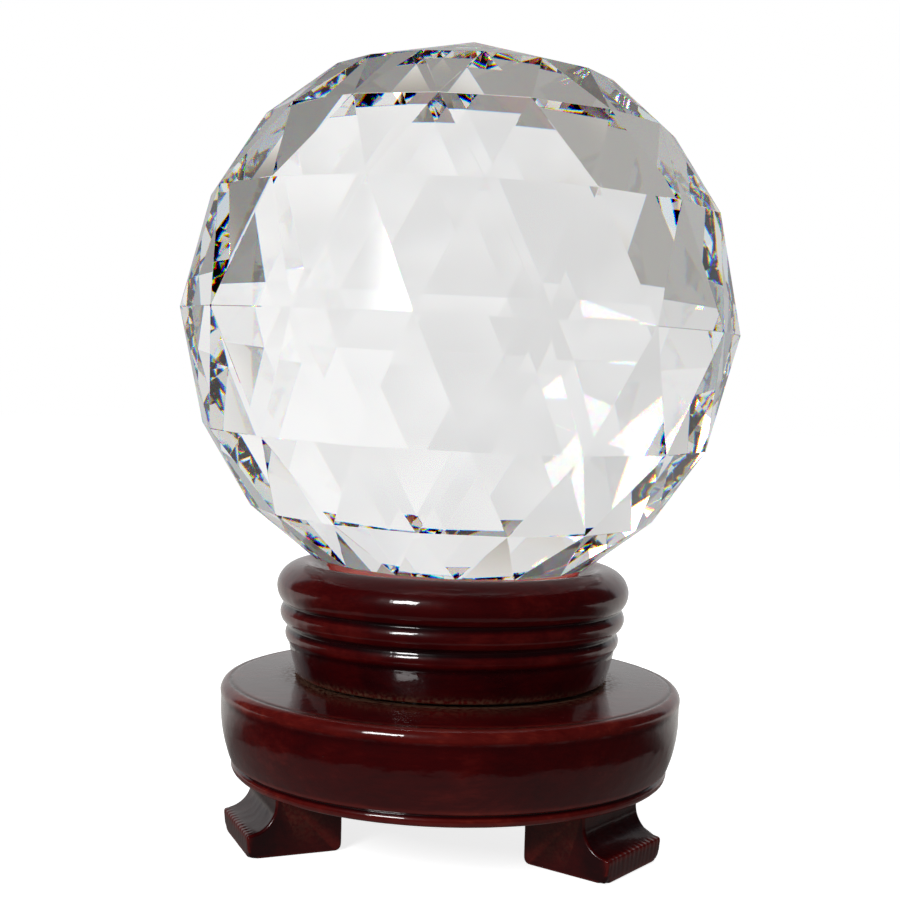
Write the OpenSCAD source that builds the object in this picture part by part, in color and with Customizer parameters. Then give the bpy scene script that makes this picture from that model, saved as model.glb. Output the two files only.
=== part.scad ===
// Faceted crystal ball on a turning, lacquered wooden stand.
// Z is up, the feet stand on z = 0, and the stand's axis is the Z axis.
// One foot points along +Y, and the other two stand 60 degrees either side of -Y.
// Azimuths are measured from -Y towards +X, and lengths are in millimetres.

/* [Ball] */
// Diameter over the ball's corners
ball_d = 150; // [146:1:154]
// Facet corners in each ring, an even number so that opposite corners match
ring_corners = 16; // [12:2:24]
// Angle at which the ball's pole leans from vertical
ball_lean = 2.7; // [0:0.1:20]
// Azimuth that the pole leans towards
lean_azimuth = 38; // [0:1:359]
// Azimuth of the first facet corner
ball_turn = 10.6; // [0:0.1:22.5]
// Gap between the ball's corners and the felt's backing
ball_gap = 0.3; // [0.2:0.05:0.6]

/* [Felt] */
// Diameter of the felt disc
felt_d = 68; // [60:1:72]
// Thickness of the felt
felt_t = 1.1; // [0.8:0.1:1.5]

/* [Cup] */
// Diameter of the rounded lip
cup_d = 95.6; // [94:0.1:98]
// Height of the lip's crown above the table
cup_top = 72.2; // [72:0.1:72.6]
// Diameter of the sharp inner edge of the lip
rim_d = 77.2; // [76:0.1:78]
// Diameter of the cup's foot
cup_foot_d = 84.8; // [82:0.1:86]
// Gap between the cup and the plinth
seam = 0.8; // [0.5:0.1:1]

/* [Plinth] */
// Largest diameter of the plinth
plinth_d = 123.8; // [120:0.1:126]
// Height of the plinth's top where the cup stands on it
plinth_top = 41.2; // [40.8:0.1:41.6]
// Fall of the plinth's top from the cup to the edge
plinth_fall = 0.6; // [0.2:0.1:2]
// Height of the plinth's underside above the table
plinth_base = 16.9; // [16:0.1:17.4]

/* [Feet] */
// Width of a foot
foot_w = 26; // [20:0.1:28]
// Distance of a foot's inner face from the axis
foot_inner = 34.4; // [32:0.1:36]
// Distance of the toe from the axis
foot_toe = 58.8; // [57:0.1:60]
// Height of the toe's crest
toe_h = 6.2; // [5:0.1:7]
// Radius of the hollow above the toe
cove_r = 7.4; // [6:0.1:8]

/* [Pivot] */
// Diameter of the pivot bolt
bolt_d = 8; // [6:0.5:8]
// Length of the pivot bolt under its head
bolt_len = 40; // [38:1:40]
// Diameter of the thrust bearing's washers
race_d = 19; // [18:0.5:22]
// Height of the whole thrust bearing
bearing_h = 7; // [6.6:0.1:7.4]
// Balls in the thrust bearing
bearing_count = 9; // [6:1:9]
// Radial clearance between the bolt and what turns round it
running_gap = 0.08; // [0.05:0.01:0.1]

/* [Hidden] */
$fn = 180;
eps = 0.01;

// Ball: latitudes of the rings of corners from the equator to the last ring below the pole
ball_r = ball_d / 2;
latitudes = [0, 24, 43, 59];
ring_count = len(latitudes);

// Seat: concentric spheres about the ball's centre for the felt's face, its back and the wood
felt_face_r = ball_r + ball_gap;
felt_back_r = felt_face_r + felt_t;
glue_gap = 0.1;
seat_r = felt_back_r + glue_gap;
rim_r = rim_d / 2;
rim_wall = 0.5;
rim_z = cup_top - rim_wall;
ball_z = rim_z + sqrt(seat_r * seat_r - rim_r * rim_r);

// Cup: the lip is an ellipse about lip_r, lip_z, and V grooves part it from the two beads below
cup_base = plinth_top + seam;
cup_foot_r = cup_foot_d / 2;
foot_easing = 0.9;
lip_out = 7.4;
lip_up = 6.5;
lip_r = cup_d / 2 - lip_out;
lip_z = cup_top - lip_up;
v_groove_h = 0.4;
bead_h = 5.6;
slim_bead_h = 3.9;
lip_groove_z = cup_top - 10.7;
bead_groove_z = lip_groove_z - bead_h - 2 * v_groove_h;
slim_bead_top = bead_groove_z - v_groove_h;
bead_r = cup_d / 2 - 1.5;
slim_bead_r = bead_r - 1.5;
seat_floor = rim_z - 4;

// Plinth: a lip, a V groove and a swelling band below a round shoulder
plinth_r = plinth_d / 2;
plinth_edge = plinth_top - plinth_fall;
lip_ring_r = plinth_r - 3.4;
lip_ring_h = 2.4;
low_groove_z = plinth_base + lip_ring_h + v_groove_h;
band_bottom_r = plinth_r - 2.6;
shoulder_h = 2.8;
shoulder_in = 2;
edge_groove_r = plinth_r - shoulder_in - 0.4;

// Pivot: the bolt's washer stands on bolt_seat, and the nut's washer runs under nut_seat
bolt_r = bolt_d / 2;
bolt_seat = 53.5;
washer_t = 1.6;
bolt_washer_r = 8;
nut_washer_r = 10;
head_z = bolt_seat + washer_t;
head_h = 5.3;
hex_r = 13 / 2 / cos(30);
pocket_r = 9;
nut_seat = 26.4;
nut_z = nut_seat - running_gap - washer_t;
nut_h = 6.6;
nut_collar_h = 1.4;
nut_pocket_r = 11;

// Thrust bearing, half in the plinth and half in the cup
race_r = race_d / 2;
race_t = 2.2;
race_pocket_r = race_r + 0.1;
bearing_z = plinth_top + seam / 2 - bearing_h / 2;
bearing_mid = bearing_z + bearing_h / 2;
bearing_ball_r = (bearing_h - 2 * race_t) / 2 + 0.3;
track_r = (bolt_r + race_r) / 2;
track_gap = 0.04;
cage_t = 1.4;
cage_gap = 0.08;

// Foot screws, two in each foot, side by side
screw_r = 1.5;
screw_head_r = 2.9;
screw_head_h = 1.9;
screw_recess = 4;
screw_len = 22;
screw_at = 44;
screw_apart = 12;
foot_azimuths = [60, -60, 180];

wood = [0.30, 0.05, 0.05];
steel = [0.72, 0.73, 0.75];

// Points of a round arc from a to b that bows to the right of that line by rise
function bow(a, b, rise, steps = 8) =
    let (
        chord = norm(b - a),
        along = (b - a) / chord,
        out = [along[1], -along[0]],
        r = (chord * chord / 4 + rise * rise) / (2 * rise),
        centre = (a + b) / 2 + out * (rise - r),
        half = asin(chord / 2 / r)
    )
    [for (i = [0:steps]) centre + out * r * cos(half * (2 * i / steps - 1))
        + along * r * sin(half * (2 * i / steps - 1))];

// Ball corners: ring 0 is the equator, negative rings lie below it, and every other ring is
// turned by half a step
function corner(ring, k) =
    let (
        lat = sign(ring) * latitudes[abs(ring)],
        az = 360 / ring_corners * (k + (abs(ring) % 2 == 0 ? 0.5 : 0))
    )
    ball_r * [cos(lat) * sin(az), -cos(lat) * cos(az), sin(lat)];

// Number of corner k of a ring in the list of corners, counted from the lowest ring
function corner_id(ring, k) = (ring + ring_count - 1) * ring_corners + (k + ring_corners) % ring_corners;

module at_foot(azimuth) {
    rotate([0, 0, azimuth - 90]) children();
}

module at_ball() {
    translate([0, 0, ball_z]) children();
}

// Hollow round prism from z0 up to z1
module tube(r_out, r_in, z0, z1) {
    translate([0, 0, z0]) difference() {
        cylinder(r = r_out, h = z1 - z0);
        translate([0, 0, -1]) cylinder(r = r_in, h = z1 - z0 + 2);
    }
}

// Round cutter from z0 up to z1
module bore(r, z0, z1) {
    translate([0, 0, z0]) cylinder(r = r, h = z1 - z0);
}

module crystal_ball() {
    top_ring = ring_count - 1;
    corners = [for (ring = [-top_ring:top_ring]) for (k = [0:ring_corners - 1]) corner(ring, k)];
    low_pole = len(corners);
    high_pole = low_pole + 1;
    // Two triangles for each corner in each band between rings
    band_facets = [for (ring = [-top_ring:top_ring - 1]) for (k = [0:ring_corners - 1])
        let (shift = abs(ring) % 2 == 0 ? 1 : 0)
        for (up = [0, 1])
            up == 0
                ? [corner_id(ring, k), corner_id(ring + 1, k + shift), corner_id(ring, k + 1)]
                : [corner_id(ring + 1, k + shift), corner_id(ring + 1, k + shift + 1),
                    corner_id(ring, k + 1)]];
    high_facets = [for (k = [0:ring_corners - 1])
        [corner_id(top_ring, k), high_pole, corner_id(top_ring, k + 1)]];
    low_facets = [for (k = [0:ring_corners - 1])
        [corner_id(-top_ring, k + 1), low_pole, corner_id(-top_ring, k)]];
    color("lightcyan", 0.5)
    at_ball() rotate([0, 0, lean_azimuth]) rotate([ball_lean, 0, 0])
    rotate([0, 0, ball_turn - lean_azimuth])
    polyhedron(
        points = concat(corners, [[0, 0, -ball_r], [0, 0, ball_r]]),
        faces = concat(band_facets, high_facets, low_facets)
    );
}

// Dished disc of felt glued to the seat
module felt_lining() {
    color("red")
    at_ball() intersection() {
        difference() {
            sphere(r = felt_back_r);
            sphere(r = felt_face_r);
        }
        translate([0, 0, -felt_back_r - 1]) cylinder(d = felt_d, h = felt_back_r);
    }
}

// Turned cup: eased foot, plain cone, slim bead, main bead and rounded lip
module cup() {
    outline = concat(
        [[0, cup_base]],
        bow([cup_foot_r - foot_easing, cup_base], [cup_foot_r, cup_base + foot_easing], 0.3, 4),
        bow([slim_bead_r - 0.4, slim_bead_top - slim_bead_h], [slim_bead_r - 0.1, slim_bead_top], 0.8),
        [[slim_bead_r - 0.3, bead_groove_z]],
        bow([slim_bead_r, bead_groove_z + v_groove_h], [bead_r - 0.5, lip_groove_z - v_groove_h], 1.5),
        [[bead_r - 0.8, lip_groove_z]],
        [for (t = [-42:6:96]) [lip_r + lip_out * cos(t), lip_z + lip_up * sin(t)]],
        [[rim_r, rim_z + rim_wall * 0.8], [rim_r, seat_floor], [0, seat_floor]]
    );
    color(wood)
    difference() {
        rotate_extrude() polygon(outline);
        at_ball() sphere(r = seat_r);
        bore(pocket_r, bolt_seat, rim_z);
        bore(bolt_r + running_gap, cup_base - 1, bolt_seat + 1);
        bore(race_pocket_r, cup_base - 1, bearing_z + bearing_h);
    }
}

// Hexagon-head bolt that is the stand's axle
module pivot_bolt() {
    color(steel) {
        translate([0, 0, head_z]) cylinder(r = hex_r, h = head_h, $fn = 6);
        bore(bolt_r, head_z - bolt_len, head_z + eps);
    }
}

module bolt_washer() {
    color(steel) tube(bolt_washer_r, bolt_r + running_gap, bolt_seat, head_z);
}

module nut_washer() {
    color(steel) tube(nut_washer_r, bolt_r + running_gap, nut_z, nut_z + washer_t);
}

// Self-locking nut: a hexagon with a plain collar below it
module lock_nut() {
    color(steel)
    difference() {
        union() {
            translate([0, 0, nut_z - nut_h]) cylinder(r = hex_r, h = nut_h, $fn = 6);
            bore(hex_r * 0.8, nut_z - nut_h - nut_collar_h, nut_z - nut_h + eps);
        }
        bore(bolt_r + running_gap / 2, nut_z - nut_h - nut_collar_h - 1, nut_z + 1);
    }
}

// Bearing washer from z0 up, with the round track of the balls cut into it
module race(z0) {
    color(steel)
    difference() {
        tube(race_r, bolt_r + running_gap, z0, z0 + race_t);
        translate([0, 0, bearing_mid])
        rotate_extrude() translate([track_r, 0]) circle(r = bearing_ball_r + track_gap);
    }
}

module race_upper() {
    race(bearing_z + bearing_h - race_t);
}

module race_lower() {
    race(bearing_z);
}

module at_bearing_balls() {
    for (k = [0:bearing_count - 1])
        rotate([0, 0, 360 / bearing_count * k]) translate([track_r, 0, bearing_mid]) children();
}

// Flat brass ring with a pocket for each ball
module ball_cage() {
    color("goldenrod")
    difference() {
        tube(race_r - 0.5, bolt_r + 1, bearing_mid - cage_t / 2, bearing_mid + cage_t / 2);
        at_bearing_balls() cylinder(r = bearing_ball_r + cage_gap, h = cage_t + 2, center = true);
    }
}

module bearing_balls() {
    color("silver") at_bearing_balls() sphere(r = bearing_ball_r, $fn = 48);
}

// Turned plinth: lip, V groove, swelling band, round shoulder, edge groove and falling top
module plinth() {
    outline = concat(
        [[0, plinth_base]],
        bow([lip_ring_r - 0.3, plinth_base], [lip_ring_r, plinth_base + lip_ring_h], 0.6),
        [[lip_ring_r - 0.6, low_groove_z]],
        bow([band_bottom_r, low_groove_z + v_groove_h], [plinth_r, plinth_edge - 5], 0.8),
        bow([plinth_r, plinth_edge - shoulder_h], [plinth_r - shoulder_in, plinth_edge], 0.9),
        [[edge_groove_r, plinth_edge - 0.5], [edge_groove_r - 0.5, plinth_edge]],
        [[cup_foot_r + 1, plinth_top], [0, plinth_top]]
    );
    color(wood)
    difference() {
        rotate_extrude() polygon(outline);
        bore(bolt_r + running_gap, plinth_base - 1, plinth_top + 1);
        bore(race_pocket_r, bearing_z, plinth_top + 1);
        bore(nut_pocket_r, plinth_base - 1, nut_seat);
        at_foot_screws() bore(screw_r + 0.05, plinth_base - 1, screw_recess + screw_len + 1);
    }
}

// Bracket foot: a block whose outer face is hollowed above a straight toe
module foot(azimuth) {
    crest = foot_toe + 0.6;
    cove_z = toe_h + cove_r;
    outline = concat(
        bow([foot_inner, 1.4], [foot_inner + 1.4, 0], 0.4, 4),
        bow([foot_toe - 0.6, 0], [foot_toe, 0.6], 0.18, 3),
        bow([crest, toe_h - 0.7], [crest - 0.6, toe_h], 0.18, 3),
        bow([crest - 0.7, toe_h], [crest - cove_r, cove_z], -cove_r * 0.29),
        [[crest - cove_r, plinth_base], [foot_inner, plinth_base]]
    );
    color(wood)
    difference() {
        at_foot(azimuth) rotate([90, 0, 0]) linear_extrude(foot_w, center = true) polygon(outline);
        at_foot_screws() {
            bore(screw_head_r + 0.2, -1, screw_recess);
            bore(screw_r + 0.2, 0, plinth_base + 1);
        }
    }
}

module foot_right() {
    foot(foot_azimuths[0]);
}

module foot_left() {
    foot(foot_azimuths[1]);
}

module foot_back() {
    foot(foot_azimuths[2]);
}

module at_foot_screws() {
    for (azimuth = foot_azimuths)
        for (side = [-1, 1])
            at_foot(azimuth) translate([screw_at, side * screw_apart / 2, 0]) children();
}

// Cross-head wood screws driven up through the feet into the plinth
module foot_screws() {
    color(steel)
    at_foot_screws() difference() {
        union() {
            bore(screw_head_r, screw_recess - screw_head_h, screw_recess);
            bore(screw_r, screw_recess - eps, screw_recess + screw_len);
        }
        for (turn = [0, 90])
            translate([0, 0, screw_recess - screw_head_h]) rotate([0, 0, turn])
            cube([screw_head_r * 1.1, 0.8, 2], center = true);
    }
}

crystal_ball();
felt_lining();
cup();
pivot_bolt();
bolt_washer();
race_upper();
ball_cage();
bearing_balls();
race_lower();
nut_washer();
lock_nut();
plinth();
foot_right();
foot_left();
foot_back();
foot_screws();
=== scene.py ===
"""Looks of a faceted crystal ball on its turning stand: cut crystal, red felt, lacquered wood and steel."""

import math
import random

import bmesh
import bpy
from mathutils import Matrix, Vector, noise


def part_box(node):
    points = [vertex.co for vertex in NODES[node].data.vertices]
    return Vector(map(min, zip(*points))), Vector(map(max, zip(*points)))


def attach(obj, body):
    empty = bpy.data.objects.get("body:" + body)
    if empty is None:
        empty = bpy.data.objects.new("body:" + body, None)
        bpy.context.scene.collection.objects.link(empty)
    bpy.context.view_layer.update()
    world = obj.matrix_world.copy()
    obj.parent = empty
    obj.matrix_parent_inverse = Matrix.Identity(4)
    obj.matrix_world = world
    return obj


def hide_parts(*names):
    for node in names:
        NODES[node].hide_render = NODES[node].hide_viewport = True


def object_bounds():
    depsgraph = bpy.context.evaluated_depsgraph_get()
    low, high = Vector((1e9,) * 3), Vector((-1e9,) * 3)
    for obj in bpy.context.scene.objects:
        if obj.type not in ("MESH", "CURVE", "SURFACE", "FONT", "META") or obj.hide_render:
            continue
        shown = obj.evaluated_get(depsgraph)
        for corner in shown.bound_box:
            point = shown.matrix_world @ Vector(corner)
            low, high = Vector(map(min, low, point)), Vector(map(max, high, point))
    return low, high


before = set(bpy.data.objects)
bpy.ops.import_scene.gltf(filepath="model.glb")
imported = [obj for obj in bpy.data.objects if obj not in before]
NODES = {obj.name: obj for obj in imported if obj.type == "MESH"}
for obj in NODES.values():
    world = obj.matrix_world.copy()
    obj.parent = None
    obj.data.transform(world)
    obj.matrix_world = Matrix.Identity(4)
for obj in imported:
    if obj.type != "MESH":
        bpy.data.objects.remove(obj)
CAD_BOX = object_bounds()
MM = 0.001

# Camera: where it stands round the stand's axis and how it is held. Azimuths run from -Y towards +X.
CAMERA_AZIMUTH = 7.3
CAMERA_DISTANCE = 370.5 * MM
CAMERA_HEIGHT = 113.9 * MM
CAMERA_LENS = 54.3
CAMERA_LOOKS_DOWN = 1.7
CAMERA_TURN = 0.28
CAMERA_ROLL = 1.55

# Studio: FRONT_ROOM and FRONT_FLOOR are how bright they are through glass in front of the stand, the floor's
# as a painted glow
FLOOR_RADIUS = 9.0
FRONT_ROOM = 0.78
FRONT_FLOOR = 0.7
SOFTBOX_AZIMUTH = -25.5
SOFTBOX_DISTANCE = 0.82
SOFTBOX_HEIGHT = 0.42
SOFTBOX_SIZE = (0.30, 0.20)
SOFTBOX_POWER = 4.7
FILL_AZIMUTH = 165.0
FILL_SIZE = (0.5, 0.5)
FILL_POWER = 3.5

# Crystal: the height of the ball's middle, its eased edges and bruised corners, and an index for each colour
BALL_HEIGHT = 138 * MM
EDGE_BEVEL = 0.09 * MM
CHIP_SIZE = 0.5 * MM
CHIPPED_CORNERS = 12
CRYSTAL_IOR = 1.52
RED_IOR = 1.5172
BLUE_IOR = 1.5238

# Wood: sizes that the turned and sawn shapes share
V_GROOVE = 0.4 * MM
OUTLINE_STEP = 0.45 * MM
LATHE_STEPS = 360
TOE_HEIGHT = 6.2 * MM
COVE_RADIUS = 7.4 * MM
ARRIS = 0.7 * MM
RIDGE_SPACING = 2.0 * MM
RIDGE_DEPTH = 0.08 * MM
SCREW_CIRCLE = 44 * MM
SCREW_OFFSET = 6 * MM
SCREW_RECESS = 4 * MM
SCREW_RECESS_RADIUS = 3.1 * MM

# Felt: BALL_CLEARANCE and GLUE_GAP are the gaps on its two faces
FELT_RADIUS = 34 * MM
FELT_THICKNESS = 1.1 * MM
BALL_CLEARANCE = 0.3 * MM
GLUE_GAP = 0.1 * MM
NAP_FIBRES = 13000
NAP_RADIUS = 0.028 * MM

rng = random.Random(7)


# ---------- shader helpers ----------


def new_material(name):
    material = bpy.data.materials.new(name)
    material.use_nodes = True
    material.node_tree.nodes.clear()
    return material, material.node_tree


def add(tree, kind, inputs=None, **settings):
    """Adds a shader node. inputs maps a socket's name or number to a value or to the socket that feeds it."""
    node = tree.nodes.new("ShaderNode" + kind)
    for key, value in settings.items():
        setattr(node, key, value)
    for key, value in (inputs or {}).items():
        if isinstance(value, bpy.types.NodeSocket):
            tree.links.new(value, node.inputs[key])
        else:
            node.inputs[key].default_value = value
    return node


def calc(tree, operation, a, b=0.0, clamp=False):
    return add(tree, "Math", {0: a, 1: b}, operation=operation, use_clamp=clamp).outputs[0]


def fade(tree, value, low, high, at_low=0.0, at_high=1.0):
    """A smooth step from at_low, where value is low, to at_high, where value is high."""
    inputs = {"Value": value, "From Min": low, "From Max": high, "To Min": at_low, "To Max": at_high}
    return add(tree, "MapRange", inputs, interpolation_type="SMOOTHSTEP").outputs["Result"]


def between(tree, factor, a, b):
    """A number or socket that goes from a to b as factor goes from 0 to 1."""
    node = add(tree, "Mix", {0: factor, 2: a, 3: b})
    return node.outputs[0]


def mix_colour(tree, factor, a, b, blend="MIX"):
    node = add(tree, "Mix", {0: factor, 6: a, 7: b}, data_type="RGBA", blend_type=blend)
    return node.outputs[2]


def ramp(tree, factor, stops):
    node = add(tree, "ValToRGB", {0: factor})
    elements = node.color_ramp.elements
    while len(elements) < len(stops):
        elements.new(0.5)
    for element, (place, colour) in zip(elements, stops):
        element.position = place
        element.color = (*colour, 1)
    return node.outputs[0]


def cloud(tree, place, scale, detail=3.0, stretch=(1, 1, 1), rough=0.5):
    """Noise of about 1 / scale metres, stretched by dividing each axis by stretch."""
    mapping = add(tree, "Mapping", {"Vector": place, "Scale": [1 / s for s in stretch]})
    inputs = {"Vector": mapping.outputs[0], "Scale": scale, "Detail": detail, "Roughness": rough}
    return add(tree, "TexNoise", inputs).outputs["Fac"]


def finish_material(tree, shader):
    add(tree, "OutputMaterial", {"Surface": shader})


# ---------- camera and studio ----------


def round_axis(azimuth, distance, height):
    turn = math.radians(azimuth)
    return Vector((math.sin(turn) * distance, -math.cos(turn) * distance, height))


def make_camera():
    data = bpy.data.cameras.new("camera")
    data.lens = CAMERA_LENS
    data.sensor_width = 36.0
    data.clip_start = 0.01
    camera = bpy.data.objects.new("camera", data)
    bpy.context.scene.collection.objects.link(camera)
    place = Matrix.Translation(round_axis(CAMERA_AZIMUTH, CAMERA_DISTANCE, CAMERA_HEIGHT))
    turn = Matrix.Rotation(math.radians(CAMERA_AZIMUTH + CAMERA_TURN), 4, "Z")
    tilt = Matrix.Rotation(math.radians(90 - CAMERA_LOOKS_DOWN), 4, "X")
    roll = Matrix.Rotation(math.radians(CAMERA_ROLL), 4, "Z")
    camera.matrix_world = place @ turn @ tilt @ roll
    bpy.context.scene.camera = camera


def split(tree, vector):
    """Height, distance behind the stand and distance to its side, for a point or direction in the studio."""
    parts = add(tree, "SeparateXYZ", {0: vector})
    x, y, z = parts.outputs
    turn = math.radians(CAMERA_AZIMUTH)
    sine, cosine = math.sin(turn), math.cos(turn)
    back = calc(tree, "ADD", calc(tree, "MULTIPLY", x, -sine), calc(tree, "MULTIPLY", y, cosine))
    side = calc(tree, "ADD", calc(tree, "MULTIPLY", x, cosine), calc(tree, "MULTIPLY", y, sine))
    return z, back, side


def sheet_tone(tree, rightward, direction):
    """Brightness of the white sheet behind the stand: brighter to the right, with soft folds."""
    slope = fade(tree, rightward, -0.75, 0.75, 0.75, 0.96)
    folds = fade(tree, cloud(tree, direction, 4.5, 3.0, (1, 1, 0.5)), 0.32, 0.68, 0.89, 1.07)
    return calc(tree, "MULTIPLY", slope, folds)


def make_world():
    """A room with a lit white sheet behind the stand. Through glass the sheet shows with its edges. In gloss
    the room is dark in front, and seen directly it is white."""
    world = bpy.data.worlds.new("studio")
    world.use_nodes = True
    bpy.context.scene.world = world
    tree = world.node_tree
    tree.nodes.clear()
    direction = add(tree, "TexCoord").outputs["Generated"]
    height, back, side = split(tree, direction)
    level = calc(tree, "SQRT", calc(tree, "SUBTRACT", 1.0, calc(tree, "MULTIPLY", height, height)))
    behind = calc(tree, "DIVIDE", back, level)
    rightward = calc(tree, "DIVIDE", side, level)
    beside = calc(tree, "ABSOLUTE", rightward)
    sheet = sheet_tone(tree, rightward, direction)
    sheet = calc(tree, "MULTIPLY", sheet, fade(tree, height, 0.66, 0.72, 1.0, 0.13))
    sheet = calc(tree, "MULTIPLY", sheet, fade(tree, beside, 0.67, 0.77, 1.0, 0.4))
    sheet = calc(tree, "MAXIMUM", sheet, fade(tree, height, 0.86, 0.94, 0.0, 0.5))
    through = between(tree, fade(tree, behind, -0.1, 0.2), FRONT_ROOM, sheet)
    in_gloss = calc(
        tree,
        "MULTIPLY",
        fade(tree, behind, 0.58, 0.7, 0.01, 0.5),
        fade(tree, height, 0.35, 0.8, 1.0, 0.1),
    )
    path = add(tree, "LightPath").outputs
    seen = between(tree, path["Is Glossy Ray"], through, in_gloss)
    seen = between(tree, path["Is Transmission Ray"], seen, through)
    seen = between(tree, path["Is Diffuse Ray"], seen, 0.26)
    seen = between(tree, path["Is Camera Ray"], seen, 1.0)
    white = (1, 1, 1, 1)
    tint = mix_colour(tree, fade(tree, beside, 0.67, 0.77), white, (0.84, 0.93, 1, 1))
    tint = mix_colour(tree, path["Is Camera Ray"], tint, white)
    background = add(tree, "Background", {"Color": tint, "Strength": seen})
    add(tree, "OutputWorld", {"Surface": background.outputs[0]})


def floor_material():
    """A floor that glows, as painted light. White where it is seen directly. Through glass it is grey near
    the stand, with painted shade that is darker close round the stand and to the right, and bright further
    back, where the sheet behind the stand comes down on it; in gloss it is dark in front, a painted
    reflection."""
    material, tree = new_material("floor")
    place = add(tree, "NewGeometry").outputs["Position"]
    _, back, side = split(tree, place)
    reach = add(tree, "VectorMath", {0: place}, operation="LENGTH").outputs["Value"]
    slant = calc(tree, "MULTIPLY", calc(tree, "SUBTRACT", back, 0.37), 0.63)
    lit = fade(tree, back, 0.35, 0.41)
    lit = calc(tree, "MULTIPLY", lit, fade(tree, calc(tree, "ADD", side, slant), -0.04, 0.04))
    lit = calc(tree, "MULTIPLY", lit, fade(tree, calc(tree, "SUBTRACT", side, slant), 0.2, 0.28, 1.0, 0.0))
    # Painted shade: the glow seen through glass is darker to the right and close round the stand.
    painted_shade = fade(tree, side, -0.08, 0.16, 0.42, 0.26)
    painted_shade = calc(tree, "MULTIPLY", painted_shade, fade(tree, reach, 0.23, 0.28, 0.45, 1.0))
    from_ball = add(tree, "VectorMath", {0: place, 1: (0, 0, BALL_HEIGHT)}, operation="SUBTRACT").outputs[0]
    direction = add(tree, "VectorMath", {0: from_ball}, operation="NORMALIZE").outputs[0]
    painted_shade = between(tree, fade(tree, back, 0.0, 0.12), FRONT_FLOOR, painted_shade)
    bright = sheet_tone(tree, calc(tree, "DIVIDE", side, back), direction)
    through = between(tree, lit, painted_shade, bright)
    # Painted reflection: in gloss the floor glows dark in front, grey close round the stand and brighter
    # behind it.
    behind_gloss = fade(tree, back, 0.0, 0.12, 0.0, 0.55)
    front_gloss = fade(tree, reach, 0.118, 0.13, 0.13, 0.012)
    in_gloss = calc(tree, "MAXIMUM", behind_gloss, front_gloss)
    path = add(tree, "LightPath").outputs
    seen = between(tree, path["Is Glossy Ray"], through, in_gloss)
    seen = between(tree, path["Is Transmission Ray"], seen, through)
    # Painted light: the floor's glow also lights the stand from below.
    seen = between(tree, path["Is Diffuse Ray"], seen, 0.22)
    tint = mix_colour(tree, lit, (1, 0.98, 0.94, 1), (1, 1, 1, 1))
    glow = add(tree, "Emission", {"Color": tint, "Strength": seen})
    paper = add(tree, "BsdfDiffuse", {"Color": (0.8, 0.8, 0.8, 1)})
    lift = add(tree, "Emission", {"Color": (1, 1, 1, 1), "Strength": 0.8})
    white = add(tree, "AddShader", {0: paper.outputs[0], 1: lift.outputs[0]})
    shown = add(tree, "MixShader", {0: path["Is Camera Ray"], 1: glow.outputs[0], 2: white.outputs[0]})
    finish_material(tree, shown.outputs[0])
    return material


def make_floor():
    bm = bmesh.new()
    bmesh.ops.create_circle(bm, cap_ends=True, segments=96, radius=FLOOR_RADIUS)
    mesh = bpy.data.meshes.new("floor")
    bm.to_mesh(mesh)
    bm.free()
    floor = bpy.data.objects.new("floor", mesh)
    bpy.context.scene.collection.objects.link(floor)
    mesh.materials.append(floor_material())


def make_light(name, azimuth, size, power):
    data = bpy.data.lights.new(name, "AREA")
    data.shape = "RECTANGLE"
    data.size, data.size_y = size
    data.energy = power
    light = bpy.data.objects.new(name, data)
    bpy.context.scene.collection.objects.link(light)
    place = round_axis(azimuth, SOFTBOX_DISTANCE, SOFTBOX_HEIGHT)
    aim = Vector((0, 0, CAD_BOX[1].z / 2)) - place
    light.matrix_world = Matrix.Translation(place) @ aim.to_track_quat("-Z", "Y").to_matrix().to_4x4()
    return light


def fade_to_left(light):
    """Lets the lamp's face go dark towards its left end, so that its reflection has one soft side."""
    light.data.use_nodes = True
    tree = light.data.node_tree
    tree.nodes.clear()
    on_face = add(tree, "SeparateXYZ", {0: add(tree, "NewGeometry").outputs["Parametric"]})
    glow = add(tree, "Emission", {"Strength": fade(tree, on_face.outputs[0], 0.08, 0.34, 0.0, 1.1)})
    add(tree, "OutputLight", {"Surface": glow.outputs[0]})


def make_lights():
    """A softbox in front, and a fill that lights the back but shows neither in gloss nor through glass."""
    fade_to_left(make_light("softbox", SOFTBOX_AZIMUTH, SOFTBOX_SIZE, SOFTBOX_POWER))
    fill = make_light("fill", FILL_AZIMUTH, FILL_SIZE, FILL_POWER)
    fill.visible_glossy = False
    fill.visible_transmission = False


# ---------- crystal ball ----------


def crystal_material():
    """Lead-free crystal. A ray from the eye splits into colours as it enters, which gives the edges their
    fringes. Lamps shine straight through it."""
    material, tree = new_material("cut_crystal")
    clear, red, green, blue = (
        add(tree, "BsdfGlass", {"Color": (*colour, 1), "Roughness": 0.0, "IOR": ior})
        for colour, ior in (
            ((1, 1, 1), CRYSTAL_IOR),
            ((3, 0, 0), RED_IOR),
            ((0, 3, 0), CRYSTAL_IOR),
            ((0, 0, 3), BLUE_IOR),
        )
    )
    pair = add(tree, "MixShader", {0: 0.5, 1: red.outputs[0], 2: green.outputs[0]})
    spectrum = add(tree, "MixShader", {0: 1 / 3, 1: pair.outputs[0], 2: blue.outputs[0]})
    path = add(tree, "LightPath").outputs
    glass = add(tree, "MixShader", {0: path["Is Camera Ray"], 1: clear.outputs[0], 2: spectrum.outputs[0]})
    gap = add(tree, "BsdfTransparent", {"Color": (0.9, 0.9, 0.9, 1)})
    shader = add(tree, "MixShader", {0: path["Is Shadow Ray"], 1: glass.outputs[0], 2: gap.outputs[0]})
    finish_material(tree, shader.outputs[0])
    return material


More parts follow.
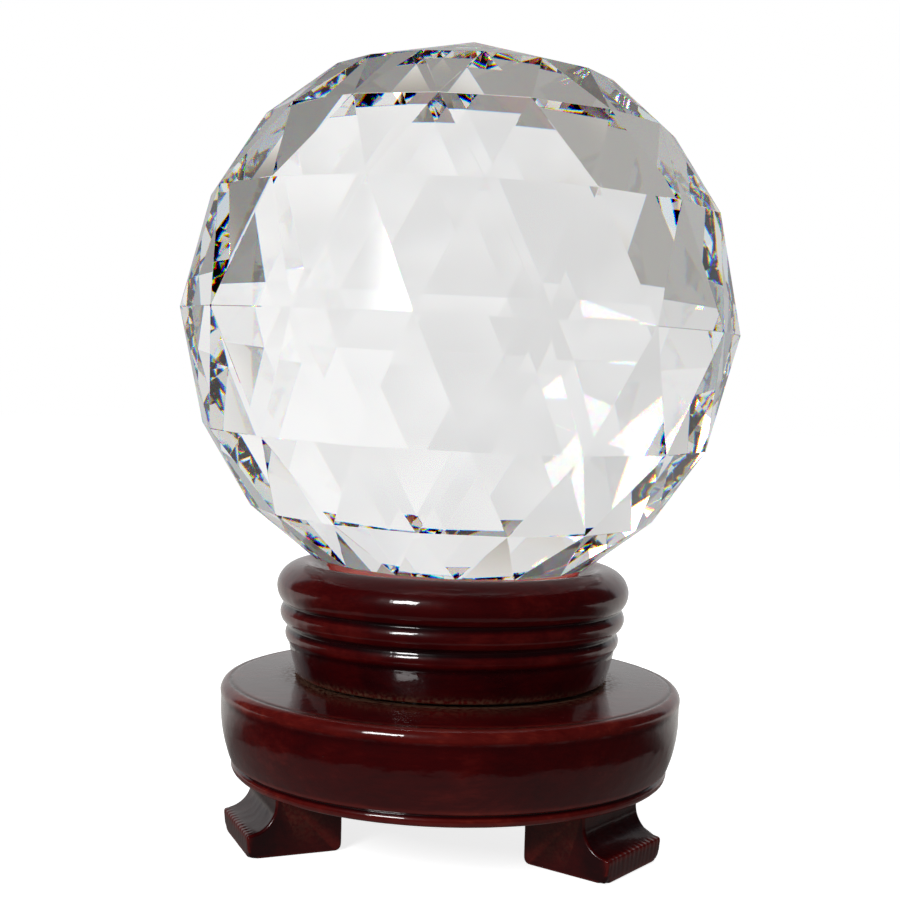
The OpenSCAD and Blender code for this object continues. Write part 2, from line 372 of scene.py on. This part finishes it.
def make_ball():
    """The CAD ball with flat facets, finely eased edges and a few bruised corners."""
    bm = bmesh.new()
    bm.from_mesh(NODES["crystal_ball"].data)
    bmesh.ops.remove_doubles(bm, verts=bm.verts, dist=0.01 * MM)
    bmesh.ops.dissolve_degenerate(bm, edges=bm.edges, dist=0.01 * MM)
    bmesh.ops.recalc_face_normals(bm, faces=bm.faces)
    bm.verts.ensure_lookup_table()
    places = sorted(range(len(bm.verts)), key=lambda i: tuple(round(c, 5) for c in bm.verts[i].co))
    chipped = [bm.verts[i] for i in rng.sample(places, CHIPPED_CORNERS)]
    bmesh.ops.bevel(bm, geom=chipped, offset=CHIP_SIZE, segments=1, affect="VERTICES")
    bmesh.ops.bevel(bm, geom=bm.edges[:], offset=EDGE_BEVEL, segments=1, affect="EDGES")
    for face in bm.faces:
        face.smooth = False
    mesh = bpy.data.meshes.new("cut_crystal_ball")
    bm.to_mesh(mesh)
    bm.free()
    ball = bpy.data.objects.new("cut_crystal_ball", mesh)
    bpy.context.scene.collection.objects.link(ball)
    mesh.materials.append(crystal_material())
    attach(ball, "ball")
    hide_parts("crystal_ball")


# ---------- lacquered wood ----------


def wood_material(name, redness, polish=1.0, coat_roughness=0.04):
    """Rosewood stain under a gloss lacquer, as thick as polish says. A relief attribute is below 0 in
    grooves, where the stain is made darker as painted shade, and above 0 on crests, where it is made lighter
    and redder, partly as lacquer worn thin and partly as a painted highlight. The attribute dust is a film of
    dust."""
    material, tree = new_material(name)
    place = add(tree, "TexCoord").outputs["Object"]
    painted_relief = add(tree, "Attribute", attribute_name="painted_relief").outputs["Fac"]
    dust = add(tree, "Attribute", attribute_name="dust").outputs["Fac"]
    blotches = cloud(tree, place, 42.0, 3.0)
    mottle = cloud(tree, place, 260.0, 4.0, (2.2, 1, 1), 0.6)
    grain = cloud(tree, place, 900.0, 4.0, (14, 1, 1), 0.65)
    # Painted shade and highlight: the relief makes the stain darker in grooves and lighter red on crests.
    stain = calc(tree, "ADD", redness, calc(tree, "MULTIPLY", painted_relief, 0.25))
    for pattern, weight in ((blotches, 0.55), (mottle, 0.35), (grain, 0.3)):
        share = calc(tree, "MULTIPLY", calc(tree, "SUBTRACT", pattern, 0.5), weight)
        stain = calc(tree, "ADD", stain, share)
    stain = calc(tree, "ADD", stain, 0.0, clamp=True)
    colour = ramp(
        tree,
        stain,
        [
            (0.0, (0.0025, 0.0006, 0.001)),
            (0.35, (0.016, 0.0005, 0.0012)),
            (0.62, (0.045, 0.0009, 0.0014)),
            (0.85, (0.105, 0.0058, 0.0044)),
            (1.0, (0.2, 0.021, 0.012)),
        ],
    )
    specks = add(tree, "TexVoronoi", {"Vector": place, "Scale": 420.0}).outputs["Distance"]
    speck = calc(tree, "LESS_THAN", specks, 0.11)
    sparse = calc(tree, "GREATER_THAN", cloud(tree, place, 230.0, 2.0), 0.57)
    nib = calc(tree, "MULTIPLY", speck, sparse)
    film = calc(tree, "MULTIPLY", dust, fade(tree, cloud(tree, place, 1100.0, 3.0), 0.38, 0.62), clamp=True)
    colour = mix_colour(tree, calc(tree, "MULTIPLY", film, 0.6), colour, (0.16, 0.085, 0.05, 1))
    ripple = cloud(tree, place, 330.0, 2.0)
    peel = cloud(tree, place, 1100.0, 2.0)
    surface = calc(tree, "ADD", calc(tree, "MULTIPLY", ripple, 0.9), calc(tree, "MULTIPLY", peel, 0.25))
    surface = calc(tree, "ADD", surface, calc(tree, "MULTIPLY", nib, 1.4))
    bump = add(tree, "Bump", {"Height": surface, "Distance": 0.05 * MM, "Strength": 1.0}).outputs[0]
    rough = calc(tree, "ADD", 0.3, calc(tree, "MULTIPLY", film, 0.5))
    gloss = calc(tree, "MULTIPLY", polish, calc(tree, "SUBTRACT", 1.0, film, clamp=True))
    bsdf = add(
        tree,
        "BsdfPrincipled",
        {
            "Base Color": colour,
            "Roughness": rough,
            "Specular IOR Level": 0.1,
            "Coat Weight": gloss,
            "Coat Roughness": coat_roughness,
            "Coat IOR": 1.5,
            "Normal": bump,
            "Coat Normal": bump,
        },
    )
    finish_material(tree, bsdf.outputs[0])
    return material


def bow(a, b, rise, steps=10):
    """Points of a round arc from a to b that bows to the right of that line by rise."""
    a, b = Vector(a), Vector(b)
    chord = (b - a).length
    along = (b - a) / chord
    out = Vector((along.y, -along.x))
    radius = (chord * chord / 4 + rise * rise) / (2 * rise)
    centre = (a + b) / 2 + out * (rise - radius)
    half = math.asin(chord / 2 / radius)
    points = []
    for i in range(steps + 1):
        turn = half * (2 * i / steps - 1)
        points.append(centre + out * radius * math.cos(turn) + along * radius * math.sin(turn))
    return points


def spaced(points, step):
    """The same line with a point about every step."""
    points = [Vector(p) for p in points]
    result = [points[0]]
    for a, b in zip(points, points[1:]):
        count = max(1, round((b - a).length / step))
        result += [a.lerp(b, i / count) for i in range(1, count + 1)]
    return result


def eased(points, passes):
    """The line with its corners rounded, as a thick lacquer rounds them. Its ends stay."""
    for _ in range(passes):
        inner = [points[i - 1] / 4 + points[i] / 2 + points[i + 1] / 4 for i in range(1, len(points) - 1)]
        points = [points[0], *inner, points[-1]]
    return points


def relief_of(points, reach):
    """How proud each point stands of those reach places away, from -1 in a groove to 1 on a crest."""
    result = []
    for i, point in enumerate(points):
        a = points[max(i - reach, 0)]
        b = points[min(i + reach, len(points) - 1)]
        along = (b - a).normalized()
        proud = (point - (a + b) / 2).dot(Vector((along.y, -along.x)))
        result.append(max(-1.0, min(1.0, proud / (0.22 * MM))))
    return result


def lathe(name, shaped, plain, wobble, dust):
    """Turns a closed outline round the axis. shaped is the part that shows, eased and sampled finely, and
    plain the rest. wobble is how far the turning is out of true. dust gives a point's dust from its radius
    and height."""
    fine = eased(spaced(shaped, OUTLINE_STEP), 2)
    painted_relief = relief_of(fine, 3) + [0.0] * len(plain)
    outline = fine + [Vector(p) for p in plain]
    bm = bmesh.new()
    relief_layer = bm.verts.layers.float.new("painted_relief")
    dust_layer = bm.verts.layers.float.new("dust")
    rings = []
    for k in range(LATHE_STEPS):
        turn = 2 * math.pi * k / LATHE_STEPS
        out = Vector((math.sin(turn), -math.cos(turn), 0))
        ring = []
        for i, (r, z) in enumerate(outline):
            spot = out * 9 + Vector((0, 0, z / (4 * MM)))
            off = wobble * noise.noise(spot) if i < len(fine) else 0.0
            vert = bm.verts.new(out * (r - abs(off)) + Vector((0, 0, z)))
            vert[relief_layer] = painted_relief[i]
            vert[dust_layer] = dust(r, z)
            ring.append(vert)
        rings.append(ring)
    count = len(outline)
    for k in range(LATHE_STEPS):
        here, there = rings[k], rings[(k + 1) % LATHE_STEPS]
        for i in range(count):
            j = (i + 1) % count
            bm.faces.new((here[i], there[i], there[j], here[j]))
    bmesh.ops.recalc_face_normals(bm, faces=bm.faces)
    for face in bm.faces:
        face.smooth = True
    mesh = bpy.data.meshes.new(name)
    bm.to_mesh(mesh)
    bm.free()
    piece = bpy.data.objects.new(name, mesh)
    bpy.context.scene.collection.objects.link(piece)
    return piece


def hump(value, middle, width):
    """1 where value is middle, falling smoothly to 0 over about width."""
    return math.exp(-(((value - middle) / width) ** 2))


def make_cup(centre_z, seat_r):
    """The turned cup. Its dish has radius seat_r about the ball's centre. Gives the radius of its foot."""
    low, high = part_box("cup")
    cup_r = high.x
    foot_r = cup_r - 5.4 * MM
    lip_r = cup_r - 7.4 * MM
    lip_z = high.z - 6.5 * MM
    lip_groove_z = high.z - 10.7 * MM
    bead_groove_z = lip_groove_z - 6.4 * MM
    bead_r = cup_r - 1.5 * MM
    slim_r = cup_r - 3.0 * MM
    slim_top = bead_groove_z - V_GROOVE
    rim_z = high.z - 0.5 * MM
    rim_r = math.sqrt(seat_r**2 - (centre_z - rim_z) ** 2)
    lip = []
    for degrees in range(-42, 97, 4):
        turn = math.radians(degrees)
        lip.append((lip_r + 7.4 * MM * math.cos(turn), lip_z + 6.5 * MM * math.sin(turn)))
    pocket_r = 9 * MM
    dish = []
    for i in range(13):
        r = rim_r + (pocket_r - rim_r) * i / 12
        dish.append((r, centre_z - math.sqrt(seat_r**2 - r**2)))
    shaped = [
        (foot_r - 4 * MM, low.z),
        *bow((foot_r - 0.9 * MM, low.z), (foot_r, low.z + 0.9 * MM), 0.3 * MM, 4),
        *bow((foot_r + 0.1 * MM, low.z + 1.2 * MM), (slim_r - 0.5 * MM, slim_top - 4.2 * MM), 0.15 * MM),
        *bow((slim_r - 0.4 * MM, slim_top - 3.9 * MM), (slim_r - 0.1 * MM, slim_top), 0.8 * MM),
        (slim_r - 0.3 * MM, bead_groove_z),
        *bow((slim_r, bead_groove_z + V_GROOVE), (bead_r - 0.5 * MM, lip_groove_z - V_GROOVE), 1.5 * MM),
        (bead_r - 0.8 * MM, lip_groove_z),
        *lip,
        *dish,
    ]
    bolt_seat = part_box("bolt_washer")[0].z
    race_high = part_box("race_upper")[1]
    shank_r = 4.08 * MM
    race_r = race_high.x + 0.1 * MM
    plain = [
        (pocket_r, bolt_seat),
        (shank_r, bolt_seat),
        (shank_r, race_high.z),
        (race_r, race_high.z),
        (race_r, low.z),
    ]

    def dust(r, z):
        at_seam = hump(z, low.z, 1.3 * MM) + 4 * (z < low.z + 0.01 * MM)
        in_rim = 0.4 * hump(r, rim_r - 3 * MM, 2 * MM) * (z > high.z - 8 * MM)
        return at_seam + in_rim

    piece = lathe("lacquered_cup", shaped, plain, 0.09 * MM, dust)
    piece.data.materials.append(wood_material("cup_lacquer", 0.44))
    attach(piece, "turning_cup")
    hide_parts("cup")
    return foot_r


def make_plinth(cup_foot_r):
    """The turned plinth. Dust lies on its top, against the foot of the cup."""
    low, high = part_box("plinth")
    plinth_r = high.x
    edge_z = high.z - 0.6 * MM
    ring_r = plinth_r - 3.4 * MM
    ring_top = low.z + 2.4 * MM
    groove_z = ring_top + V_GROOVE
    band_r = plinth_r - 2.6 * MM
    edge_r = plinth_r - 2.4 * MM
    nut_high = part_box("nut_washer")[1]
    race_low, race_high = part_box("race_lower")
    pocket_r = 11 * MM
    nut_seat = nut_high.z + 0.08 * MM
    shank_r = 4.08 * MM
    race_r = race_high.x + 0.1 * MM
    shaped = [
        (ring_r - 6 * MM, low.z),
        *bow((ring_r - 0.3 * MM, low.z), (ring_r, ring_top), 0.6 * MM),
        (ring_r - 0.6 * MM, groove_z),
        *bow((band_r, groove_z + V_GROOVE), (plinth_r, edge_z - 5 * MM), 0.8 * MM),
        *bow((plinth_r, edge_z - 3.8 * MM), (plinth_r - 2.2 * MM, edge_z), 1.15 * MM),
        (edge_r, edge_z - 0.5 * MM),
        (edge_r - 0.5 * MM, edge_z),
        (cup_foot_r + 1 * MM, high.z),
        (cup_foot_r - 6 * MM, high.z),
    ]
    plain = [
        (race_r, high.z),
        (race_r, race_low.z),
        (shank_r, race_low.z),
        (shank_r, nut_seat),
        (pocket_r, nut_seat),
        (pocket_r, low.z),
    ]

    def dust(r, z):
        on_top = z > high.z - 0.3 * MM
        under_cup = 4 * (r < cup_foot_r)
        round_cup = 0.6 * hump(r, cup_foot_r, 3 * MM)
        return on_top * (under_cup + round_cup) + 0.25 * hump(r, edge_r, 0.8 * MM) * (z > edge_z - 1 * MM)

    piece = lathe("lacquered_plinth", shaped, plain, 0.1 * MM, dust)
    piece.data.materials.append(wood_material("plinth_lacquer", 0.55))
    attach(piece, "stand")
    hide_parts("plinth")


def foot_outline(inner, crest, top):
    """The foot's side view as radii and heights: a flat sole, an upright toe and a cove above it."""
    corners = [
        (inner, top),
        *bow((inner, 1.4 * MM), (inner + 1.4 * MM, 0), 0.4 * MM, 4),
        *bow((crest - 1.2 * MM, 0), (crest - 0.6 * MM, 0.6 * MM), 0.18 * MM, 3),
        *bow((crest, TOE_HEIGHT - 0.7 * MM), (crest - 0.6 * MM, TOE_HEIGHT), 0.18 * MM, 3),
        *bow(
            (crest - 0.7 * MM, TOE_HEIGHT),
            (crest - COVE_RADIUS, TOE_HEIGHT + COVE_RADIUS),
            -0.29 * COVE_RADIUS,
        ),
        (crest - COVE_RADIUS, top),
        (inner, top),
    ]
    return eased(spaced(corners, OUTLINE_STEP), 2)[:-1]


def foot_stations(half_width):
    """Places across the foot, each with how far its outline is drawn in there to round the arrises."""
    rounded = []
    for i in range(5):
        turn = math.radians(22.5 * i)
        rounded.append((ARRIS * (1 - math.cos(turn)), ARRIS * (1 - math.sin(turn))))
    middle = round(2 * half_width / (RIDGE_SPACING / 6))
    flat = [(ARRIS + (half_width - ARRIS) * 2 * i / middle, 0.0) for i in range(1, middle)]
    return rounded + flat + [(2 * half_width - place, inset) for place, inset in rounded[::-1]]


def make_foot(name, node, azimuth):
    """A sawn foot with a cove above its toe, rounded arrises, worn corners, saw ridges and screw recesses."""
    low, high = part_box("foot_back")
    inner, crest, top, half_width = low.y, high.y, high.z, high.x
    toe = crest - 0.6 * MM
    outline = foot_outline(inner, crest, top)
    proud = relief_of(outline, 3)
    count = len(outline)
    turn = math.radians(azimuth)
    out = Vector((math.sin(turn), -math.cos(turn), 0))
    across = Vector((math.cos(turn), math.sin(turn), 0))
    bm = bmesh.new()
    relief_layer = bm.verts.layers.float.new("painted_relief")
    dust_layer = bm.verts.layers.float.new("dust")
    rows = []
    for place, inset in foot_stations(half_width):
        t = place - half_width
        row = []
        for i, point in enumerate(outline):
            along = (outline[(i + 1) % count] - outline[i - 1]).normalized()
            normal = Vector((along.y, -along.x))
            spot = Vector((t / (5 * MM), point.x / (5 * MM), point.y / (5 * MM) + azimuth))
            depth = inset + 0.07 * MM * abs(noise.noise(spot)) * (point.y > 0.3 * MM)
            on_toe = (point.x > crest - 1.3 * MM) * (0.5 * MM < point.y < TOE_HEIGHT + 0.1 * MM)
            ridge = 0.5 + 0.5 * math.cos(2 * math.pi * t / RIDGE_SPACING + 2 * noise.noise(spot))
            depth += on_toe * ridge * RIDGE_DEPTH * (0.35 + hump(point.y, TOE_HEIGHT, 2 * MM))
            to_corner = Vector((abs(t) - half_width, point.x - toe, point.y)).length
            worn = max(0.0, 1 - to_corner / (2.6 * MM) + 0.4 * noise.noise(spot * 4))
            r, z = point - normal * (depth + worn * 0.5 * MM)
            vert = bm.verts.new(out * r + across * t + Vector((0, 0, max(z, 0))))
            # Painted highlight: the rounded arrises get a lighter stain. Painted shade: the troughs of the
            # saw ridges get a darker one.
            edge = 0.9 * (0.0 < inset < ARRIS) - 0.25 * on_toe * ridge
            vert[relief_layer] = -1.0 if worn > 0.25 else max(-1.0, min(1.0, proud[i] + edge))
            vert[dust_layer] = 0.5 * hump(point.y, top, 2 * MM)
            row.append(vert)
        rows.append(row)
    for here, there in zip(rows, rows[1:]):
        for i in range(count):
            j = (i + 1) % count
            bm.faces.new((here[i], here[j], there[j], there[i])).smooth = True
    bm.faces.new(rows[0][::-1])
    bm.faces.new(rows[-1])
    if bm.calc_volume(signed=True) < 0:
        bmesh.ops.reverse_faces(bm, faces=bm.faces)
    mesh = bpy.data.meshes.new(name)
    bm.to_mesh(mesh)
    bm.free()
    foot = bpy.data.objects.new(name, mesh)
    bpy.context.scene.collection.objects.link(foot)
    for side in (-1, 1):
        place = out * SCREW_CIRCLE + across * SCREW_OFFSET * side
        cut_round(foot, place, SCREW_RECESS_RADIUS, -1 * MM, SCREW_RECESS)
    foot.data.materials.clear()
    foot.data.materials.append(wood_material(name + "_lacquer", 0.56, 0.6, 0.16))
    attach(foot, "stand")
    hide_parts(node)


def cut_round(piece, place, radius, low, high):
    """Cuts an upright round hole in the piece and keeps the result as its mesh."""
    bm = bmesh.new()
    bmesh.ops.create_cone(
        bm,
        cap_ends=True,
        segments=48,
        radius1=radius,
        radius2=radius,
        depth=high - low,
        matrix=Matrix.Translation(place + Vector((0, 0, (low + high) / 2))),
    )
    mesh = bpy.data.meshes.new("cutter")
    bm.to_mesh(mesh)
    bm.free()
    cutter = bpy.data.objects.new("cutter", mesh)
    bpy.context.scene.collection.objects.link(cutter)
    cut = piece.modifiers.new("cut", "BOOLEAN")
    cut.object = cutter
    cut.operation = "DIFFERENCE"
    cut.solver = "MANIFOLD"
    graph = bpy.context.evaluated_depsgraph_get()
    result = bpy.data.meshes.new_from_object(piece.evaluated_get(graph))
    piece.modifiers.clear()
    piece.data = result
    bpy.data.objects.remove(cutter)


# ---------- felt ----------


def felt_material(name):
    """Pressed wool felt: a matted surface with lighter fibres and a soft sheen."""
    material, tree = new_material(name)
    place = add(tree, "TexCoord").outputs["Object"]
    matting = cloud(tree, place, 900.0, 4.0, rough=0.65)
    strands = cloud(tree, place, 2600.0, 3.0, (1, 5, 2), 0.6)
    tone = calc(tree, "ADD", calc(tree, "MULTIPLY", matting, 0.6), calc(tree, "MULTIPLY", strands, 0.4))
    colour = ramp(
        tree,
        tone,
        [
            (0.3, (0.19, 0.006, 0.006)),
            (0.5, (0.36, 0.018, 0.014)),
            (0.68, (0.55, 0.055, 0.038)),
        ],
    )
    bump = add(tree, "Bump", {"Height": tone, "Distance": 0.16 * MM, "Strength": 1.0}).outputs[0]
    bsdf = add(
        tree,
        "BsdfPrincipled",
        {
            "Base Color": colour,
            "Roughness": 0.92,
            "Specular IOR Level": 0.2,
            "Sheen Weight": 0.35,
            "Sheen Roughness": 0.5,
            "Sheen Tint": (1.0, 0.55, 0.45, 1),
            "Normal": bump,
        },
    )
    finish_material(tree, bsdf.outputs[0])
    return material


def make_nap(centre_z, face_r, material):
    """Loose wool fibres that stand off the felt's edge and lean on the ball."""
    bm = bmesh.new()
    for _ in range(NAP_FIBRES):
        share = rng.random() ** 0.32
        r = FELT_RADIUS * (0.74 + 0.265 * share)
        turn = rng.uniform(0, 2 * math.pi)
        out = Vector((math.sin(turn), -math.cos(turn), 0))
        root = out * r + Vector((0, 0, centre_z - math.sqrt(face_r**2 - r**2) - 0.04 * MM))
        to_ball = (Vector((0, 0, centre_z)) - root).normalized()
        edge = max(0.0, (r - 0.965 * FELT_RADIUS) / (0.04 * FELT_RADIUS))
        stray = Vector((rng.gauss(0, 1), rng.gauss(0, 1), rng.gauss(0, 0.6)))
        lean = (to_ball * 0.5 + stray * 0.55 + (out + Vector((0, 0, 1.6))) * edge * 0.6).normalized()
        length = rng.uniform(0.25, 0.5 + 1.3 * edge) * MM
        points = [root, root + lean * length * 0.55, root + (lean + stray * 0.25).normalized() * length]
        points = [kept_off(p, centre_z, face_r - 0.25 * MM) for p in points]
        add_fibre(bm, points)
    mesh = bpy.data.meshes.new("felt_nap")
    bm.to_mesh(mesh)
    bm.free()
    nap = bpy.data.objects.new("felt_nap", mesh)
    bpy.context.scene.collection.objects.link(nap)
    mesh.materials.append(material)
    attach(nap, "turning_cup")
    return nap


def kept_off(point, centre_z, radius):
    """The point, moved out to radius from the ball's centre if it is nearer."""
    middle = Vector((0, 0, centre_z))
    away = point - middle
    return middle + away.normalized() * max(away.length, radius)


def add_fibre(bm, points):
    """A closed, pointed, three-sided fibre along three points."""
    along = (points[2] - points[0]).normalized()
    aside = along.orthogonal()
    rings = []
    for point, radius in zip(points[:2], (NAP_RADIUS, NAP_RADIUS * 0.8)):
        ring = []
        for i in range(3):
            spin = Matrix.Rotation(math.radians(120 * i), 3, along)
            ring.append(bm.verts.new(point + spin @ aside * radius))
        rings.append(ring)
    tip = bm.verts.new(points[2])
    bm.faces.new(rings[0][::-1])
    for i in range(3):
        j = (i + 1) % 3
        bm.faces.new((rings[0][i], rings[0][j], rings[1][j], rings[1][i]))
        bm.faces.new((rings[1][i], rings[1][j], tip))


def make_felt(centre_z, face_r):
    """The round of felt that lines the dish, with a hand-cut edge, and its nap."""
    back_r = face_r + FELT_THICKNESS
    radii = [FELT_RADIUS * i / 26 for i in range(1, 21)]
    radii += [FELT_RADIUS * (0.77 + 0.23 * i / 24) for i in range(1, 25)]
    steps = 240
    bm = bmesh.new()
    sheets = []
    for face in (True, False):
        sphere_r = face_r if face else back_r
        middle = bm.verts.new((0, 0, centre_z - sphere_r))
        rings = []
        for radius in radii:
            ring = []
            for k in range(steps):
                turn = 2 * math.pi * k / steps
                out = Vector((math.sin(turn), -math.cos(turn), 0))
                ragged = 0.35 * MM * abs(noise.noise(out * 14)) + 0.12 * MM * abs(noise.noise(out * 60))
                r = radius - ragged * (radius / FELT_RADIUS) ** 12
                matted = 0.07 * MM * noise.noise(Vector((out.x * r, out.y * r, 0)) / (0.8 * MM))
                sag = abs(matted) if face else 0.0
                z = centre_z - math.sqrt(sphere_r**2 - r**2) - sag
                ring.append(bm.verts.new(out * r + Vector((0, 0, z))))
            rings.append(ring)
        sheets.append((middle, rings))
    for (middle, rings), face in zip(sheets, (True, False)):
        for k in range(steps):
            j = (k + 1) % steps
            bm.faces.new((middle, rings[0][k], rings[0][j]))
            for inner, outer in zip(rings, rings[1:]):
                bm.faces.new((inner[k], outer[k], outer[j], inner[j]))
    top_edge, back_edge = sheets[0][1][-1], sheets[1][1][-1]
    for k in range(steps):
        j = (k + 1) % steps
        bm.faces.new((top_edge[k], back_edge[k], back_edge[j], top_edge[j]))
    bmesh.ops.recalc_face_normals(bm, faces=bm.faces)
    for side in bm.faces:
        side.smooth = True
    mesh = bpy.data.meshes.new("felt_dish")
    bm.to_mesh(mesh)
    bm.free()
    felt = bpy.data.objects.new("felt_dish", mesh)
    bpy.context.scene.collection.objects.link(felt)
    material = felt_material("red_felt")
    mesh.materials.append(material)
    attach(felt, "turning_cup")
    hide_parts("felt_lining")
    nap = make_nap(centre_z, face_r, material)


# ---------- metal parts ----------


def metal_material(name, colour, stain, rough, scratches):
    """Turned or plated metal, with a stained, smeared finish and fine scratches round the axis."""
    material, tree = new_material(name)
    place = add(tree, "TexCoord").outputs["Object"]
    smear = cloud(tree, place, 260.0, 4.0, rough=0.6)
    scratch = cloud(tree, place, 1500.0, 3.0, (1, 1, 0.06), 0.6)
    tone = mix_colour(tree, fade(tree, smear, 0.35, 0.7), (*colour, 1), (*stain, 1))
    roughness = calc(tree, "ADD", rough, calc(tree, "MULTIPLY", smear, 0.3), clamp=True)
    bump = add(tree, "Bump", {"Height": scratch, "Distance": scratches, "Strength": 1.0}).outputs[0]
    inputs = {"Base Color": tone, "Metallic": 1.0, "Roughness": roughness, "Normal": bump}
    bsdf = add(tree, "BsdfPrincipled", inputs)
    finish_material(tree, bsdf.outputs[0])
    return material


def finish_metal_parts():
    zinc = metal_material("zinc_plate", (0.60, 0.61, 0.63), (0.47, 0.46, 0.40), 0.22, 0.012 * MM)
    steel = metal_material("ground_steel", (0.66, 0.66, 0.67), (0.55, 0.54, 0.52), 0.06, 0.006 * MM)
    brass = metal_material("brass_sheet", (0.78, 0.55, 0.22), (0.58, 0.38, 0.14), 0.18, 0.01 * MM)
    finishes = {
        "pivot_bolt": zinc,
        "bolt_washer": zinc,
        "nut_washer": zinc,
        "lock_nut": zinc,
        "foot_screws": zinc,
        "race_upper": steel,
        "race_lower": steel,
        "bearing_balls": steel,
        "ball_cage": brass,
    }
    for node, material in finishes.items():
        mesh = NODES[node].data
        mesh.materials.clear()
        mesh.materials.append(material)


# ---------- start-up order ----------

make_camera()
make_world()
make_floor()
make_lights()
make_ball()
corners = [v.co for v in NODES["crystal_ball"].data.vertices]
centre = sum(corners, Vector()) / len(corners)
ball_r = max((corner - centre).length for corner in corners)
face_r = ball_r + BALL_CLEARANCE
cup_foot_r = make_cup(centre.z, face_r + FELT_THICKNESS + GLUE_GAP)
make_felt(centre.z, face_r)
make_plinth(cup_foot_r)
make_foot("lacquered_foot_right", "foot_right", 60)
make_foot("lacquered_foot_left", "foot_left", -60)
make_foot("lacquered_foot_back", "foot_back", 180)
finish_metal_parts()

bpy.context.scene.view_settings.view_transform = "Standard"
cycles = bpy.context.scene.cycles
cycles.max_bounces = 14
cycles.transmission_bounces = 9
cycles.glossy_bounces = 9
cycles.diffuse_bounces = 3
cycles.sample_clamp_indirect = 6.0
